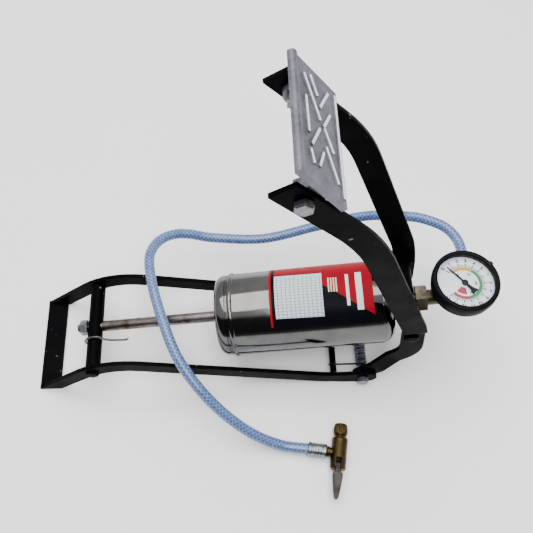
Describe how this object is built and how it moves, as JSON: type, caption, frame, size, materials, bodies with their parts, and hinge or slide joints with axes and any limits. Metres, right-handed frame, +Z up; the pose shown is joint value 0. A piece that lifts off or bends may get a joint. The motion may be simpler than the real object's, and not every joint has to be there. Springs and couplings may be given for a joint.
{
  "type": "foot air pump",
  "caption": "Foot-operated tyre pump: bent strip base, hinged lever with ribbed pedal, tilting barrel, dial gauge, hose and thumb-lock chuck.",
  "frame": {"origin": "middle of the underside of the front foot bar, on the floor", "axes": "+X from the front foot to the gauge, +Y from the near rail to the far rail, +Z up"},
  "size_m": [0.3343, 0.2147, 0.2812],
  "materials": {
    "black_paint": "semi-gloss",
    "zinc_steel": "zinc plated",
    "rod_steel": "oiled",
    "chrome": "polished",
    "cast_aluminium": "as cast",
    "brass": "dull",
    "rubber": "matte",
    "hose_blue": "glossy",
    "gauge_black": "glossy",
    "dial_white": "satin",
    "lens_clear": "clear",
    "spring_steel": "oiled"
  },
  "bodies": {
    "base": {"base_frame": "black_paint", "base_cross_bar": "black_paint", "hinge_bolt": "zinc_steel", "hinge_nut": "zinc_steel", "front_pivot_rivet_near": "black_paint", "front_pivot_rivet_far": "black_paint", "torsion_spring": "spring_steel"},
    "lever": {"lever_arm_near": "black_paint", "lever_arm_far": "black_paint", "pedal": "cast_aluminium", "pedal_bolt_near": "zinc_steel", "pedal_bolt_far": "zinc_steel", "pedal_nut_near": "zinc_steel", "pedal_nut_far": "zinc_steel"},
    "barrel": {"barrel_tube": "chrome", "barrel_cap": "chrome", "rod_bush": "rubber", "cylinder_head": "chrome", "valve_seat": "brass", "valve_disc": "rubber", "valve_spring": "spring_steel", "outlet_pipe": "brass", "rear_cross_tube": "black_paint", "rear_pivot_rivet_near": "black_paint", "rear_pivot_rivet_far": "black_paint", "outlet_nut": "brass", "brass_tee": "brass", "hose_union": "brass", "hose_collar": "zinc_steel", "gauge_stem": "brass", "gauge_case": "gauge_black", "gauge_bezel": "gauge_black", "gauge_lens": "lens_clear", "gauge_dial": "dial_white", "bourdon_tube": "brass", "gauge_movement": "brass", "hose": "hose_blue", "hose_ferrule": "zinc_steel", "chuck_body": "brass", "chuck_pin": "zinc_steel", "chuck_seal": "rubber"},
    "rod": {"front_cross_tube": "black_paint", "piston_rod": "rod_steel", "rod_nut": "zinc_steel", "piston_plate": "zinc_steel", "cup_seal": "rubber", "seal_washer": "zinc_steel", "piston_nut": "zinc_steel"},
    "hook": {"stow_hook": "zinc_steel"},
    "needle": {"gauge_needle": "gauge_black"},
    "thumb_lever": {"chuck_lever": "zinc_steel"}
  },
  "joints": [
    {"name": "lever_hinge", "type": "hinge", "parent": "base", "child": "lever", "pos_m": [0.2382, 0, 0.0078], "axis": [0, -1, 0], "range_deg": [0, 60], "stiffness_Nm_per_rad": 0.5, "springref_deg": -68.75, "deforming": ["hose", "torsion_spring"]},
    {"name": "barrel_pivot", "type": "hinge", "parent": "lever", "child": "barrel", "pos_m": [0.26505, 0, 0.0681], "axis": [0, -1, 0], "range_deg": [-59.5, 0]},
    {"name": "rod_slide", "type": "slide", "parent": "barrel", "child": "rod", "axis": [0.987, 0, 0.1608], "range_m": [0, 0.0664]},
    {"name": "gauge_needle_turn", "type": "hinge", "parent": "barrel", "child": "needle", "pos_m": [0.302, 0, 0.0918], "axis": [0, 0, -1], "range_deg": [0, 270], "stiffness_Nm_per_rad": 0.0005},
    {"name": "chuck_lever_lift", "type": "hinge", "parent": "barrel", "child": "thumb_lever", "pos_m": [0.21401, -0.10243, 0.006], "axis": [-0.9877, 0.1564, 0], "range_deg": [0, 90]},
    {"name": "stow_hook_swing", "type": "hinge", "parent": "rod", "child": "hook", "pos_m": [0.0361, 0, 0.0308], "axis": [0, -1, 0], "range_deg": [-15, 110]}
  ],
  "couplings": [
    {"joint": "barrel_pivot", "follows": "lever_hinge", "ratio": -0.97845},
    {"joint": "rod_slide", "follows": "lever_hinge", "m_per_rad": 0.062891}
  ]
}
